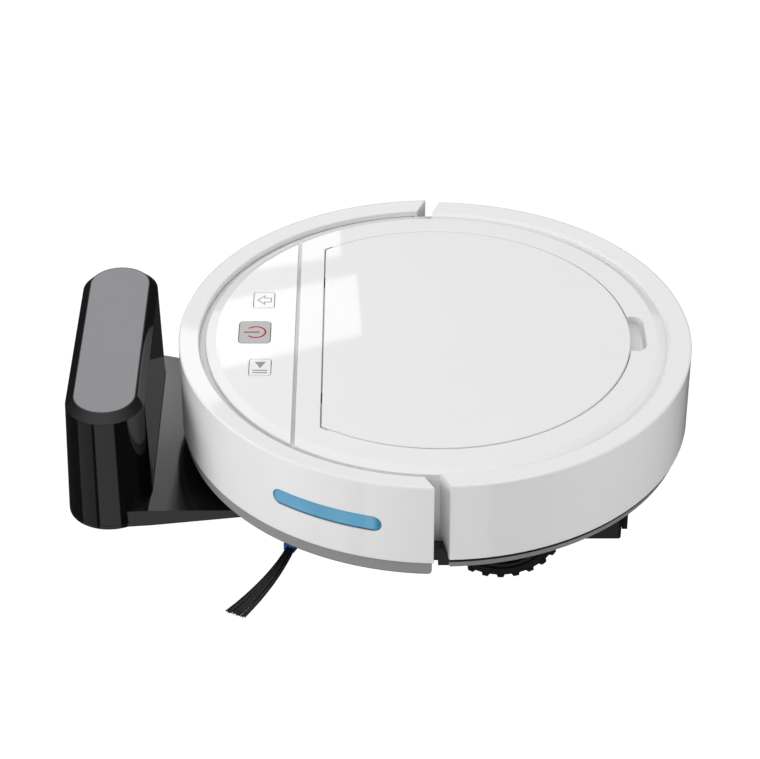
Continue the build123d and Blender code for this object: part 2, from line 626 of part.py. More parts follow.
with BuildPart() as bin_well:
    segment(SEAT_WALL_R - 0.3, (LID_BACK_X, 66), WELL_DECK_Z)
    box(grown(WELL_IN_X, WELL_WALL), grown(WELL_IN_Y, WELL_WALL), WELL_Z)
    box(WELL_IN_X, WELL_IN_Y, (WELL_Z[0] + WELL_WALL, HIGH), Mode.SUBTRACT)
    box((-FAR, -103), grown(NOTCH_Y, 4), (WELL_DECK_Z[0] - 1, HIGH), Mode.SUBTRACT)
    box(around(WELL_IN_X[0] - 1, WELL_WALL), DUCT_Y, DUCT_Z, Mode.SUBTRACT)
    box(around(WELL_IN_X[1] + 1, WELL_WALL), FAN_PORT_Y, FAN_PORT_Z, Mode.SUBTRACT)
save(bin_well, "bin_well")

EAR_X = (BIN_X[0] + 1.6, BIN_X[0] + 5.4)
EAR_Z = (31.0, 35.0)
EAR_THICK = 1.8
EAR_YS = (DUCT_Y[0] - 3.4, DUCT_Y[1] + 1.6)
FILTER_MOUTH_Y = (-55.0, 55.0)
FILTER_MOUTH_Z = (34.0, 62.0)
with BuildPart() as dust_bin:
    box(BIN_X, BIN_Y, BIN_Z)
    fillet(dust_bin.edges().filter_by(Axis.Z), BIN_CORNER)
    fillet(dust_bin.faces().sort_by(Axis.Z)[0].edges(), 3)
    box(grown(BIN_X, -BIN_WALL), grown(BIN_Y, -BIN_WALL), (BIN_Z[0] + BIN_WALL, HIGH), Mode.SUBTRACT)
    box((BIN_X[0] - 1, BIN_X[0] + 3), grown(DUCT_Y, -1), DUCT_Z, Mode.SUBTRACT)
    for ear_y in EAR_YS:
        box(EAR_X, (ear_y, ear_y + EAR_THICK), EAR_Z)
    rod(*FLAP_HINGE, FLAP_PIN_R + 0.05, grown(DUCT_Y, 4), Mode.SUBTRACT)
    box((BIN_X[1] - 3, BIN_X[1] + 1), FILTER_MOUTH_Y, FILTER_MOUTH_Z, Mode.SUBTRACT)
save(dust_bin, "dust_bin")

PLEATS = 23
PLEAT_PITCH = 5.0
PLEAT_SIZE = (7.0, 2.0)
FILTER_X = (BIN_X[1] - 12, BIN_X[1] - BIN_WALL - 0.1)
FILTER_Y = (-62.0, 62.0)
FILTER_Z = (32.0, 64.0)
with BuildPart() as bin_filter:
    box(FILTER_X, FILTER_Y, FILTER_Z)
    with BuildSketch(level(FILTER_MOUTH_Z[0])):
        with Locations((FILTER_X[1], 0)):
            with GridLocations(0, PLEAT_PITCH, 1, PLEATS):
                Rectangle(*PLEAT_SIZE)
    extrude(amount=FILTER_MOUTH_Z[1] - FILTER_MOUTH_Z[0], mode=Mode.SUBTRACT)
save(bin_filter, "bin_filter")

COVER_Z = (BIN_Z[1], 69.0)
GRIP_X = (-40.0, -26.0)
GRIP_Y = (-32.0, 32.0)
GRIP_R = 1.9
with BuildPart() as bin_cover:
    box(BIN_X, BIN_Y, COVER_Z)
    fillet(bin_cover.edges().filter_by(Axis.Z), BIN_CORNER)
    box(grown(BIN_X, -2), grown(BIN_Y, -2), (COVER_Z[0] - 1.8, COVER_Z[0]))
    box(GRIP_X, GRIP_Y, (COVER_Z[0] + 1, HIGH), Mode.SUBTRACT)
    rod(mid(GRIP_X), COVER_Z[1] - 0.4, GRIP_R, grown(GRIP_Y, 0.5))
save(bin_cover, "bin_cover")

with BuildPart() as bin_flap:
    box(around(FLAP_HINGE[0] - 0.1, 0.5), grown(DUCT_Y, -0.5), (DUCT_Z[0] - 0.8, FLAP_HINGE[1]))
    rod(*FLAP_HINGE, FLAP_PIN_R, grown(DUCT_Y, 3.2))
save(bin_flap, "bin_flap")

# ---- suction fan
FAN = (33.2, -42.0)
FAN_MOTOR_R = 13.0
FAN_MOTOR_Z = (PAN_TOP_Z + 0.2, 24.0)
BLOWER_R = 29.0
BLOWER_Z = (24.0, 50.0)
BLOWER_WALL = 2.0
FAN_EYE_R = 14.0
SPOUT_Z = (30.0, 46.0)
INLET_Z = (BLOWER_Z[1] + BLOWER_WALL, 66.0)
IMPELLER_R = 24.5
IMPELLER_Z = (28.0, 30.0, 44.0)
BLADES = 9
with BuildPart() as fan_motor:
    disc(*FAN, FAN_MOTOR_R, FAN_MOTOR_Z)
    disc(*FAN, SHAFT_R + RUNNING, (FAN_MOTOR_Z[0] + BLOWER_WALL, HIGH), Mode.SUBTRACT)
save(fan_motor, "fan_motor")

with BuildPart() as blower_housing:
    disc(*FAN, BLOWER_R, BLOWER_Z)
    box((FAN[0] - BLOWER_R, FAN[0]), (FAN[1] - BLOWER_R, FAN[1] - 5), grown(SPOUT_Z, BLOWER_WALL))
    disc(*FAN, BLOWER_R - BLOWER_WALL, (BLOWER_Z[0] + BLOWER_WALL, HIGH), Mode.SUBTRACT)
    disc(*FAN, SHAFT_R + 0.3, (0, HIGH), Mode.SUBTRACT)
    box((FAN[0] - 27, FAN[0] - 8), (FAN[1] - 32, FAN[1] - 10), SPOUT_Z, Mode.SUBTRACT)
save(blower_housing, "blower_housing")

with BuildPart() as blower_cover:
    disc(*FAN, BLOWER_R, (BLOWER_Z[1], INLET_Z[0]))
    disc(*FAN, FAN_EYE_R, (0, HIGH), Mode.SUBTRACT)
    box((WELL_IN_X[1] + 2.1, FAN[0] - 15), around(FAN[1], 13), INLET_Z)
    inlet_z = (INLET_Z[0] + 1.5, INLET_Z[1] - 2)
    box((WELL_IN_X[1] + WELL_WALL, FAN[0] - 17), around(FAN[1], 11), inlet_z, Mode.SUBTRACT)
save(blower_cover, "blower_cover")

with BuildPart() as fan_impeller:
    disc(*FAN, IMPELLER_R, IMPELLER_Z[:2])
    disc(*FAN, 4, (IMPELLER_Z[0], IMPELLER_Z[2] - 4))
    with BuildSketch(level(IMPELLER_Z[1])):
        with Locations(FAN):
            with PolarLocations(0, BLADES):
                Polygon((6, -0.7), (15, 1.5), (24, 6), (24, 7.4), (14, 3), (6, 0.7), align=None)
    extrude(amount=IMPELLER_Z[2] - IMPELLER_Z[1])
    disc(*FAN, SHAFT_R, (FAN_MOTOR_Z[0] + BLOWER_WALL + 0.3, IMPELLER_Z[0]))
save(fan_impeller, "fan_impeller")

# ---- battery
COVER_SEAM_Z = PAN_TOP_Z + 0.1
with BuildPart() as battery_pack:
    box(BATTERY_X, BATTERY_Y, (COVER_SEAM_Z + 1.1, 36))
    fillet(battery_pack.edges().filter_by(Axis.Y), 6)
save(battery_pack, "battery_pack")

with BuildPart() as battery_cover:
    box(grown(BATTERY_X, 0.2), grown(BATTERY_Y, 1.2), (PAN_Z, COVER_SEAM_Z))
    box((BATTERY_X[0] - 2, BATTERY_X[1] + 1), grown(BATTERY_Y, 3.4), (PAN_TOP_Z + 0.02, COVER_SEAM_Z + 1))
save(battery_cover, "battery_cover")

# ---- caster
CAGE_R = 14.9
CAGE_Z = (10.2, 26.0)
CAGE_SLOT = (11.5, 5.6, 21.0)
AXLE_BOSS = 2.4
CASTER_HALF_W = 5.0
with BuildPart() as caster_cage:
    disc(CASTER_X, 0, CAGE_R, CAGE_Z)
    fillet(caster_cage.faces().sort_by(Axis.Z)[0].edges(), 2)
    box(around(CASTER_X, CAGE_SLOT[0]), around(0, CAGE_SLOT[1]), (0, CAGE_SLOT[2]), Mode.SUBTRACT)
    disc(CASTER_X, 0, AXLE_R, (CAGE_Z[1], CAGE_Z[1] + 20))
    rod(CASTER_X, CASTER_R, SHAFT_R, (-9, 9))
    for boss_y in ((CAGE_SLOT[1], 9), (-9, -CAGE_SLOT[1])):
        box(around(CASTER_X, AXLE_BOSS), boss_y, (CASTER_R - AXLE_BOSS, CAGE_Z[0] + 4))
save(caster_cage, "caster_cage")

with BuildPart() as caster_wheel:
    rod(CASTER_X, CASTER_R, CASTER_R, around(0, CASTER_HALF_W))
    fillet(caster_wheel.edges().filter_by(GeomType.CIRCLE), 1.2)
    rod(CASTER_X, CASTER_R, SHAFT_R + RUNNING, around(0, 9), Mode.SUBTRACT)
save(caster_wheel, "caster_wheel")

# ---- side brushes
ARM_ANGLES = [BRUSH_ANGLE + 360 / BRUSH_ARMS * turn for turn in range(BRUSH_ARMS)]
BRUSH_SHAFT_R = 2.5
BRUSH_MOTOR_R = 12.0
BRUSH_MOTOR_Z = (PAN_TOP_Z + 0.1, 19.0, 44.0)
HUB_Z = (6.0, 11.6)
ARM_Z = (6.4, 11.0)
ARM_OUT = 29.0
ARM_SIDE = [(0, -4.5), (18, -2.8), (22, -3.2), (ARM_OUT, -3.2)]
BRISTLE_Z = (7.6, 9.2)
BRISTLE_OUTLINE = [
    (ARM_OUT, -2.2), (60, -3.4), (BRUSH_REACH - 4, -6),
    (BRUSH_REACH, 5), (60, 3.4), (ARM_OUT, 2.2),
]
with BuildPart() as side_brush_motors:
    for side in SIDES:
        disc(BRUSH_X, side * BRUSH_Y, BRUSH_MOTOR_R, BRUSH_MOTOR_Z[1:])
        disc(BRUSH_X, side * BRUSH_Y, 2 * BRUSH_SHAFT_R, BRUSH_MOTOR_Z[:2])
        disc(BRUSH_X, side * BRUSH_Y, BRUSH_SHAFT_R + RUNNING, (0, PAN_RIM_Z), Mode.SUBTRACT)
save(side_brush_motors, "side_brush_motors")


def brush_plane(angle, z):
    """A horizontal plane at the brush's axis with its X along one arm."""
    along = (cos(radians(angle)), sin(radians(angle)), 0)
    return Plane(origin=(ROBOT_X + BRUSH_X, BRUSH_Y, z), x_dir=along, z_dir=(0, 0, 1))


with BuildPart() as side_brush_hub:
    disc(BRUSH_X, BRUSH_Y, 9, HUB_Z)
    disc(BRUSH_X, BRUSH_Y, BRUSH_SHAFT_R, (HUB_Z[1], PAN_RIM_Z - 1))
    for angle in ARM_ANGLES:
        with BuildSketch(brush_plane(angle, ARM_Z[0])):
            Polygon(*ARM_SIDE, *[(x, -y) for x, y in reversed(ARM_SIDE)], align=None)
        extrude(amount=ARM_Z[1] - ARM_Z[0])
save_both(side_brush_hub, "side_brush_hub")

with BuildPart() as side_brush_bristles:
    for angle in ARM_ANGLES:
        with BuildSketch(brush_plane(angle, BRISTLE_Z[0])):
            Polygon(*BRISTLE_OUTLINE, align=None)
        extrude(amount=BRISTLE_Z[1] - BRISTLE_Z[0])
save_both(side_brush_bristles, "side_brush_bristles")

# ---- main brush
ROLLER_Y = (-76.0, 76.0)
HEAD_Z = (2.0, 23.6)
HEAD_ROOF_X = (-98.0, HEAD_X[1])
HEAD_ROOF_Z = (20.0, 34.0)
MOUTH_HALF = 12.5
TUFT_ROWS = 6
with BuildPart() as brush_head:
    box(HEAD_X, HEAD_Y, HEAD_Z)
    fillet(brush_head.edges().filter_by(Axis.Z), 2)
    box(HEAD_ROOF_X, grown(ROLLER_Y, 2), HEAD_ROOF_Z)
    rod(ROLLER_X, ROLLER_Z, ROLLER_R + 1.6, ROLLER_Y, Mode.SUBTRACT)
    box(around(ROLLER_X, MOUTH_HALF), ROLLER_Y, (0, 10), Mode.SUBTRACT)
    rod(ROLLER_X, ROLLER_Z, AXLE_R + RUNNING, (-90, 84), Mode.SUBTRACT)
    box((ROLLER_X + 8, HEAD_X[1] + 1), grown(DUCT_Y, -1), DUCT_Z, Mode.SUBTRACT)
save(brush_head, "brush_head")

CASING_Y = (-92.7, HEAD_Y[0] - 0.2)
with BuildPart() as brush_motor:
    box((-98, -78), CASING_Y, (5, HEAD_Z[1]))
    box((-91, -77), CASING_Y, (20, 58))
    rod(-84, 47, 10.5, (CASING_Y[1], -44))
    rod(ROLLER_X, ROLLER_Z, AXLE_R + RUNNING, (-89, -84), Mode.SUBTRACT)
save(brush_motor, "brush_motor")

with BuildPart() as roller_core:
    rod(ROLLER_X, ROLLER_Z, AXLE_R, (-88.5, 83.5))
    rod(ROLLER_X, ROLLER_Z, 2 * AXLE_R, grown(ROLLER_Y, -0.6))
save(roller_core, "roller_core")

TUFT_IN_R = 2 * AXLE_R + 0.05
with BuildPart() as roller_bristles:
    with BuildSketch(side_on(ROLLER_Y[1] - 2)):
        with Locations((ROLLER_X, ROLLER_Z)):
            with PolarLocations(0, TUFT_ROWS):
                Polygon((TUFT_IN_R, -1.6), (ROLLER_R, -1.1), (ROLLER_R, 1.1), (TUFT_IN_R, 1.6), align=None)
    extrude(amount=ROLLER_Y[1] - ROLLER_Y[0] - 4)
save(roller_bristles, "roller_bristles")

SCRAPER_X = (-108.7, -105.6)
SCRAPER_Z = (1.5, 9.5, 12.0)
with BuildPart() as scraper:
    plate_across([
        (HEAD_X[0], SCRAPER_Z[2]), (SCRAPER_X[0], SCRAPER_Z[2]), (SCRAPER_X[0], SCRAPER_Z[0]),
        (SCRAPER_X[1], SCRAPER_Z[0]), (SCRAPER_X[1], SCRAPER_Z[1]), (HEAD_X[0], SCRAPER_Z[1]),
    ], (-83.5, 83.5))
save(scraper, "scraper")

# ---- drive modules: a geared arm that swings about a pin ahead of the wheel
PINION_GAP = GEAR_MODULE * (GEAR_TEETH + PINION_TEETH) / 2
PINION_X = WHEEL_X + PINION_GAP * cos(radians(PINION_ANGLE))
PINION_Z = WHEEL_Z + PINION_GAP * sin(radians(PINION_ANGLE))
GEAR_Y = (95.6, 101.6)
ARM_Y = (92.2, 105.3)
ARM_RS = (22.4, 6.5, 9.0)
ARM_CENTRES = ((WHEEL_X, WHEEL_Z), (PIVOT_X, PIVOT_Z), (PINION_X, PINION_Z))
PIVOT_PIN_R = 2.0
WHEEL_SHAFT_R = 4.0
GEAR_ROOM_Y = (ARM_Y[0] + 2, ARM_Y[1] + 1)

with BuildPart() as drive_housing:
    with BuildSketch(side_on(ARM_Y[1])):
        for centre, radius in zip(ARM_CENTRES, ARM_RS):
            with Locations(centre):
                Circle(radius)
        make_hull()
    extrude(amount=ARM_Y[1] - ARM_Y[0])
    rod(WHEEL_X, WHEEL_Z, ARM_RS[0] - 1.6, GEAR_ROOM_Y, Mode.SUBTRACT)
    rod(PINION_X, PINION_Z, ARM_RS[2] - 2.4, GEAR_ROOM_Y, Mode.SUBTRACT)
    rod(WHEEL_X, WHEEL_Z, WHEEL_SHAFT_R + RUNNING, grown(ARM_Y, 1), Mode.SUBTRACT)
    rod(PINION_X, PINION_Z, SHAFT_R + RUNNING, grown(ARM_Y, 1), Mode.SUBTRACT)
    rod(PIVOT_X, PIVOT_Z, PIVOT_PIN_R + 0.05, grown(ARM_Y, 1), Mode.SUBTRACT)
save_both(drive_housing, "drive_housing")

DRIVE_MOTOR_Y = (76.8, ARM_Y[0])
with BuildPart() as drive_motor:
    rod(PINION_X, PINION_Z, 10, DRIVE_MOTOR_Y)
    rod(PINION_X, PINION_Z, SHAFT_R + RUNNING, (84, ARM_Y[0]), Mode.SUBTRACT)
save_both(drive_motor, "drive_motor")

with BuildPart() as drive_pinion:
    spur_gear(PINION_X, PINION_Z, PINION_TEETH, PINION_ANGLE + 180 / PINION_TEETH, GEAR_Y)
    rod(PINION_X, PINION_Z, SHAFT_R, (85, GEAR_Y[0]))
save_both(drive_pinion, "drive_pinion")

HUB_R = 27.6
SPOKES = 6
SPOKE_RING_R = 16.5
SPOKE_SIZE = (19.0, 3.0)
with BuildPart() as wheel_hub:
    spur_gear(WHEEL_X, WHEEL_Z, GEAR_TEETH, PINION_ANGLE, GEAR_Y)
    rod(WHEEL_X, WHEEL_Z, WHEEL_SHAFT_R, (ARM_Y[0] + 0.2, WHEEL_Y[0] + 2))
    rod(WHEEL_X, WHEEL_Z, HUB_R, (WHEEL_Y[0] + 1, WHEEL_Y[1] - 1))
    rod(WHEEL_X, WHEEL_Z, HUB_R - 2.5, (WHEEL_Y[1] - 5, WHEEL_Y[1]), Mode.SUBTRACT)
    rod(WHEEL_X, WHEEL_Z, 2 * WHEEL_SHAFT_R, (WHEEL_Y[1] - 6, WHEEL_Y[1] - 2))
    with BuildSketch(side_on(WHEEL_Y[1] - 2)):
        with Locations((WHEEL_X, WHEEL_Z)):
            with PolarLocations(SPOKE_RING_R, SPOKES):
                Rectangle(*SPOKE_SIZE)
    extrude(amount=3.5)
save_both(wheel_hub, "wheel_hub")

TREAD_R = WHEEL_R - 1.8
CLEAT_INSET = 0.6
with BuildPart() as wheel_tyre:
    rod(WHEEL_X, WHEEL_Z, TREAD_R, WHEEL_Y)
    fillet(wheel_tyre.edges().filter_by(GeomType.CIRCLE), 1.2)
    with BuildSketch(side_on(WHEEL_Y[1] - CLEAT_INSET)):
        with Locations((WHEEL_X, WHEEL_Z)):
            with PolarLocations(TREAD_R - 1, CLEATS, start_angle=-90):
                Trapezoid(5.2, 2.8, 70, rotation=-90, align=(Align.CENTER, Align.MIN))
    extrude(amount=WHEEL_Y[1] - WHEEL_Y[0] - 2 * CLEAT_INSET)
    rod(WHEEL_X, WHEEL_Z, HUB_R + 0.02, grown(WHEEL_Y, 1), Mode.SUBTRACT)
save_both(wheel_tyre, "wheel_tyre")

SPRING_FOOT_Z = 57.4
with BuildPart() as suspension_spring:
    coil((ROBOT_X + WHEEL_X, mid(ARM_Y), SPRING_FOOT_Z), (0, 0, 1), 4.2, 0.5, 2.6, 15.2)
save_both(suspension_spring, "suspension_spring")

EARS_Y = ((89.9, 91.6), (106.0, 107.6))
EAR_FOOT = (15.0, PAN_TOP_Z + 1.05)
EAR_FOOT_SIZE = (10.0, 2.0)
EAR_R = 5.5
with BuildPart() as suspension_brackets:
    for ear in EARS_Y:
        with BuildSketch(side_on(ear[1])):
            with Locations((PIVOT_X, PIVOT_Z)):
                Circle(EAR_R)
            with Locations(EAR_FOOT):
                Rectangle(*EAR_FOOT_SIZE)
            make_hull()
        extrude(amount=ear[1] - ear[0])
    box((WELL_X[1] + 1, EAR_FOOT[0] + 5), (EARS_Y[0][0], EARS_Y[1][1]), (PAN_TOP_Z + 0.05, PAN_TOP_Z + 2))
    rod(PIVOT_X, PIVOT_Z, PIVOT_PIN_R, (EARS_Y[0][0], EARS_Y[1][1]))
    mirror(about=Plane.XZ)
save(suspension_brackets, "suspension_brackets")

# ---- charging dock
JACK_Z = 20.0
JACK_R = 2.8
JACK_MOUTH_X = 209.0
JACK_DEPTH = 9.0
BOARD_X = (197.2, 198.8)


def tower(shrink, z, mode=Mode.ADD):
    """The dock's tapering stadium-shaped tower, made smaller all round by an amount."""
    with BuildSketch(level(z[0])) as outline:
        with Locations((DOCK_BODY_X, 0)):
            SlotOverall(DOCK_FOOT_L - 2 * shrink, DOCK_FOOT_W - 2 * shrink, rotation=90)
    extrude(outline.sketch, amount=z[1] - z[0], taper=DOCK_TAPER, mode=mode)


def cap_block(gap, z, mode=Mode.ADD):
    """The stadium that the dock's top cap fills, made smaller all round by a gap."""
    with BuildSketch(level(z[0])) as outline:
        with Locations((DOCK_BODY_X, 0)):
            SlotOverall(DOCK_CAP_L - 2 * gap, DOCK_CAP_W - 2 * gap, rotation=90)
    extrude(outline.sketch, amount=z[1] - z[0], mode=mode)


def jack_bore(x, radius, depth):
    """A round hole through the dock's back, bored in from x towards -X at the jack's height."""
    with BuildSketch(Plane(origin=(ROBOT_X + x, 0, JACK_Z), x_dir=(0, 1, 0), z_dir=(1, 0, 0))) as hole:
        Circle(radius)
    extrude(hole.sketch, amount=-depth, mode=Mode.SUBTRACT)


with BuildPart() as dock_body:
    tower(0, (DOCK_SEAM_Z, DOCK_TOP_Z))
    chamfer(dock_body.faces().sort_by(Axis.Z)[-1].edges(), DOCK_CHAMFER)
    tower(DOCK_WALL, (DOCK_SEAM_Z, DOCK_TOP_Z - 6), Mode.SUBTRACT)
    cap_block(0, (DOCK_TOP_Z - 1, HIGH), Mode.SUBTRACT)
    jack_bore(FAR, 4, 20)
save(dock_body, "dock_body")

with BuildPart() as dock_cap:
    cap_block(0.05, (DOCK_TOP_Z - 1, DOCK_TOP_Z + 0.1))
save(dock_cap, "dock_cap")

CONTACT_HALF = 4.0
CONTACT_TOP_Z = 11.5
ISLAND = (14.0, 52.0)
ISLAND_TOP_Z = 9.2
PLATE_HALF_W = (66.9, 78.9, 81.2)
PLATE_WIDEST_X = 165.0
with BuildPart() as dock_plate:
    slab([
        (DOCK_BODY_X, -PLATE_HALF_W[2]), (DOCK_BODY_X, PLATE_HALF_W[2]), (PLATE_WIDEST_X, PLATE_HALF_W[1]),
        (RAMP_LOW_X, PLATE_HALF_W[0]), (RAMP_LOW_X, -PLATE_HALF_W[0]), (PLATE_WIDEST_X, -PLATE_HALF_W[1]),
    ], (DOCK_BASE_Z, RAMP_HIGH_Z + 0.7))
    plate_across([
        (RAMP_LOW_X - 5, RAMP_LOW_Z - 0.5), (RAMP_LOW_X, RAMP_LOW_Z), (RAMP_HIGH_X, RAMP_HIGH_Z),
        (DOCK_BODY_X + 5, RAMP_HIGH_Z + 0.5), (DOCK_BODY_X + 5, HIGH), (RAMP_LOW_X - 5, HIGH),
    ], (-FAR, FAR), Mode.SUBTRACT)
    fillet(dock_plate.edges().filter_by(Axis.Z).sort_by(Axis.X)[:2], 8)
    tower(-0.1, (DOCK_SEAM_Z, HIGH / 2), Mode.SUBTRACT)
    tower(0, (DOCK_BASE_Z, DOCK_SEAM_Z))
    island_x = around(CONTACT_PLATES[0][0], ISLAND[0] / 2)
    rounded_box(island_x, around(0, ISLAND[1] / 2), (DOCK_BASE_Z, ISLAND_TOP_Z), 3)
    for x, y in CONTACT_PLATES:
        box(around(x, CONTACT_HALF + 0.3), around(y, CONTACT_HALF + 0.3), (0, HIGH), Mode.SUBTRACT)
save(dock_plate, "dock_plate")

with BuildPart() as dock_contacts:
    for x, y in CONTACT_PLATES:
        box(around(x, CONTACT_HALF), around(y, CONTACT_HALF), (DOCK_BASE_Z + 1.8, CONTACT_TOP_Z))
    fillet(dock_contacts.faces().sort_by(Axis.Z)[-2:].edges(), 1.2)
save(dock_contacts, "dock_contacts")

with BuildPart() as dock_board:
    box(BOARD_X, (-26, 26), (DOCK_SEAM_Z, 50))
    box((BOARD_X[1], JACK_MOUTH_X), (-6, 6), around(JACK_Z, 6))
    jack_bore(JACK_MOUTH_X, JACK_R, JACK_DEPTH)
save(dock_board, "dock_board")

DOCK_FEET = [(200, 50), (200, -50), (106, 50), (106, -50)]
with BuildPart() as dock_feet:
    for foot in DOCK_FEET:
        disc(*foot, 6, (0, DOCK_BASE_Z))
save(dock_feet, "dock_feet")
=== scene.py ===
import json
import math
import random

import bmesh
import bpy
from mathutils import Matrix, Vector


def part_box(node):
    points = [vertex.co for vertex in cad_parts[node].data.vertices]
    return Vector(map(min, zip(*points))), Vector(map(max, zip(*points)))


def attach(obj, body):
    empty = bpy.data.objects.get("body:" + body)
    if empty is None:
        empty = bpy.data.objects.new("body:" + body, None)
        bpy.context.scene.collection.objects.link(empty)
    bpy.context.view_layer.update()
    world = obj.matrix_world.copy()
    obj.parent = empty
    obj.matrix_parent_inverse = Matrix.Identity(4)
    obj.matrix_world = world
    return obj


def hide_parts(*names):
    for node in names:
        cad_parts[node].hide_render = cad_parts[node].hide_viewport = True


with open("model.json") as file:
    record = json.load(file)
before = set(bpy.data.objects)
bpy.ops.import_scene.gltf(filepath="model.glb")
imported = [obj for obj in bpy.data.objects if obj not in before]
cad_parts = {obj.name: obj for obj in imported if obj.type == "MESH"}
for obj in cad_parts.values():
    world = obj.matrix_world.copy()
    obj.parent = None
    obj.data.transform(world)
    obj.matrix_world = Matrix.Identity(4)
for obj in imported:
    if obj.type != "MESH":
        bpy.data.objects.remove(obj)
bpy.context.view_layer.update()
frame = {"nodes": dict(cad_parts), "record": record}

MM = 0.001
BUMPER_R = 150 * MM
CENTRE_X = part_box("bumper")[1].x - BUMPER_R


def at(x, y, z):
    """A point given in millimetres from the robot's axis and the floor."""
    return Vector((CENTRE_X + x * MM, y * MM, z * MM))


def link(tree, source, target):
    tree.links.new(source, target)


# ---- camera: stands off the robot's left side and looks down at it
CAMERA_AT = at(37.85, 1284.75, 942.31)
CAMERA_YAW = -0.0038
CAMERA_PITCH = 0.6081
CAMERA_ROLL = 0.0015
FOCAL_PIXELS = 2656
FRAME_PIXELS = 760
SENSOR_MM = 36.0
CLIP = (0.05, 30)


def make_camera():
    """Yaw, pitch and roll in radians turn the camera about its own place."""
    data = bpy.data.cameras.new("camera")
    data.sensor_width = SENSOR_MM
    data.lens = SENSOR_MM * FOCAL_PIXELS / FRAME_PIXELS
    data.clip_start, data.clip_end = CLIP
    camera = bpy.data.objects.new("camera", data)
    bpy.context.scene.collection.objects.link(camera)
    ahead = Vector((
        math.sin(CAMERA_YAW) * math.cos(CAMERA_PITCH),
        -math.cos(CAMERA_YAW) * math.cos(CAMERA_PITCH),
        -math.sin(CAMERA_PITCH),
    ))
    level_right = ahead.cross(Vector((0, 0, 1))).normalized()
    level_up = level_right.cross(ahead)
    right = level_right * math.cos(CAMERA_ROLL) + level_up * math.sin(CAMERA_ROLL)
    up = level_up * math.cos(CAMERA_ROLL) - level_right * math.sin(CAMERA_ROLL)
    turn = Matrix((right, up, -ahead)).transposed().to_4x4()
    camera.matrix_world = Matrix.Translation(CAMERA_AT) @ turn
    bpy.context.scene.camera = camera


make_camera()


# ---- studio: a white surround, brightest overhead, a floor, two lights at the sides, and panels seen in gloss
SKY_TOWARDS = Vector((0.08, 0.22, 0.97)).normalized()
SKY_STOPS = ((0.0, 0.02), (0.42, 0.04), (0.66, 0.23), (0.82, 0.60), (1.0, 1.26))
FLOOR_SIZE = 14
FLOOR_CUTS = 8
FLOOR_ROUGHNESS = 0.9
PAPER_Z = -0.0002
PAPER_GLOW = 1.05
BOUNCE_Z = -0.0003
BOUNCE_WHITE = 0.75
BOUNCE_GLOW = 0.04


def make_world():
    """Light from every direction, stronger the nearer the direction is to SKY_TOWARDS."""
    world = bpy.data.worlds.new("studio")
    world.use_nodes = True
    tree = world.node_tree
    direction = tree.nodes.new("ShaderNodeTexCoord")
    towards = tree.nodes.new("ShaderNodeVectorMath")
    towards.operation = "DOT_PRODUCT"
    towards.inputs[1].default_value = SKY_TOWARDS
    link(tree, direction.outputs["Generated"], towards.inputs[0])
    share = tree.nodes.new("ShaderNodeMapRange")
    share.inputs["From Min"].default_value = -1
    link(tree, towards.outputs["Value"], share.inputs["Value"])
    ramp = tree.nodes.new("ShaderNodeValToRGB")
    top = SKY_STOPS[-1][1]
    stops = ramp.color_ramp.elements
    for stop, (position, level) in zip((stops[0], stops[1]), (SKY_STOPS[0], SKY_STOPS[-1])):
        stop.position = position
        stop.color = (level / top, level / top, level / top, 1)
    for position, level in SKY_STOPS[1:-1]:
        stops.new(position).color = (level / top, level / top, level / top, 1)
    link(tree, share.outputs["Result"], ramp.inputs["Fac"])
    background = tree.nodes["Background"]
    link(tree, ramp.outputs["Color"], background.inputs["Color"])
    background.inputs["Strength"].default_value = top
    bpy.context.scene.world = world
    bpy.context.scene.view_settings.view_transform = "Standard"


def white_plane(name, z, white, emission):
    bpy.ops.mesh.primitive_grid_add(
        x_subdivisions=FLOOR_CUTS, y_subdivisions=FLOOR_CUTS, size=FLOOR_SIZE, location=(0, 0, z))
    plane = bpy.context.object
    plane.name = name
    material = bpy.data.materials.new(name)
    material.use_nodes = True
    shader = material.node_tree.nodes["Principled BSDF"]
    shader.inputs["Base Color"].default_value = (white, white, white, 1)
    shader.inputs["Roughness"].default_value = FLOOR_ROUGHNESS
    shader.inputs["Specular IOR Level"].default_value = 0.0
    shader.inputs["Emission Color"].default_value = (1, 1, 1, 1)
    shader.inputs["Emission Strength"].default_value = emission
    plane.data.materials.append(material)
    return plane


def make_floor():
    """One plane is the white paper that the camera sees, the other throws light back up at the robot."""
    paper = white_plane("floor_paper", PAPER_Z, 0.0, PAPER_GLOW)
    paper.visible_diffuse = False
    paper.visible_glossy = False
    paper.visible_transmission = False
    paper.visible_shadow = False
    bounce = white_plane("floor_bounce", BOUNCE_Z, BOUNCE_WHITE, BOUNCE_GLOW)
    bounce.visible_camera = False
    bounce.visible_glossy = False


def soft_box(name, place, width, height, power):
    """A light that points at the middle of the floor and can't be seen itself."""
    data = bpy.data.lights.new(name, "AREA")
    data.shape = "RECTANGLE"
    data.size = width
    data.size_y = height
    data.energy = power
    light = bpy.data.objects.new(name, data)
    light.visible_camera = False
    light.visible_glossy = False
    bpy.context.scene.collection.objects.link(light)
    turn = (-Vector(place)).to_track_quat("-Z", "Y").to_matrix().to_4x4()
    light.matrix_world = Matrix.Translation(place) @ turn


